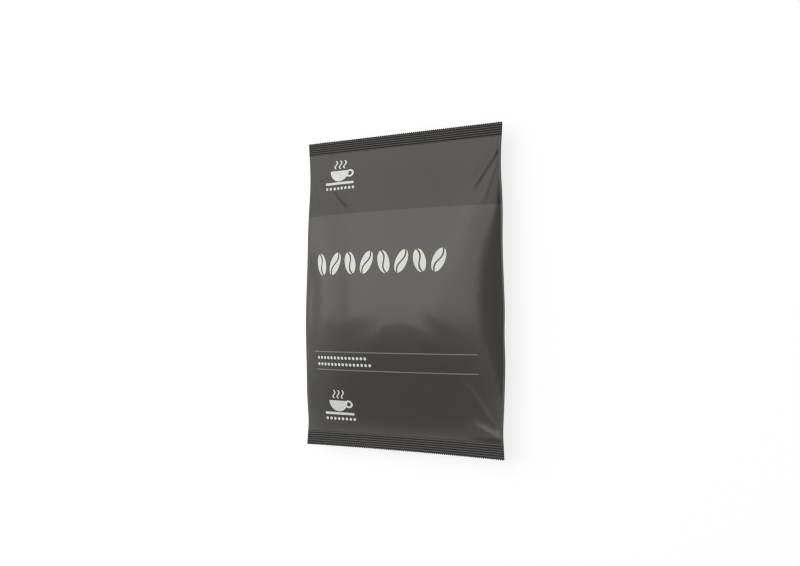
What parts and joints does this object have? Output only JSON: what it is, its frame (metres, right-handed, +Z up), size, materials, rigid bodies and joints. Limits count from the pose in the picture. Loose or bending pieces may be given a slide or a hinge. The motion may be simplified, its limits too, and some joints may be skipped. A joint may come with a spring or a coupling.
{
  "type": "coffee bag",
  "caption": "Shut pillow bag of ground coffee in dark grey film, with a ribbed seal and zigzag cut edge at each end, lying on its back.",
  "frame": {"origin": "middle of the box around the bag, on the surface it lies on", "axes": "+Y along the bag towards its top seal, +X to the right as the front is read, +Z up out of the front film"},
  "size_m": [0.1422, 0.2006, 0.029],
  "materials": {
    "film": "satin dark warm grey film, a little darker in the head band and on the ribbed seals, printed with plain white and pale grey shapes on the front"
  },
  "bodies": {
    "root": {"coffee_bag": "film"}
  },
  "joints": []
}
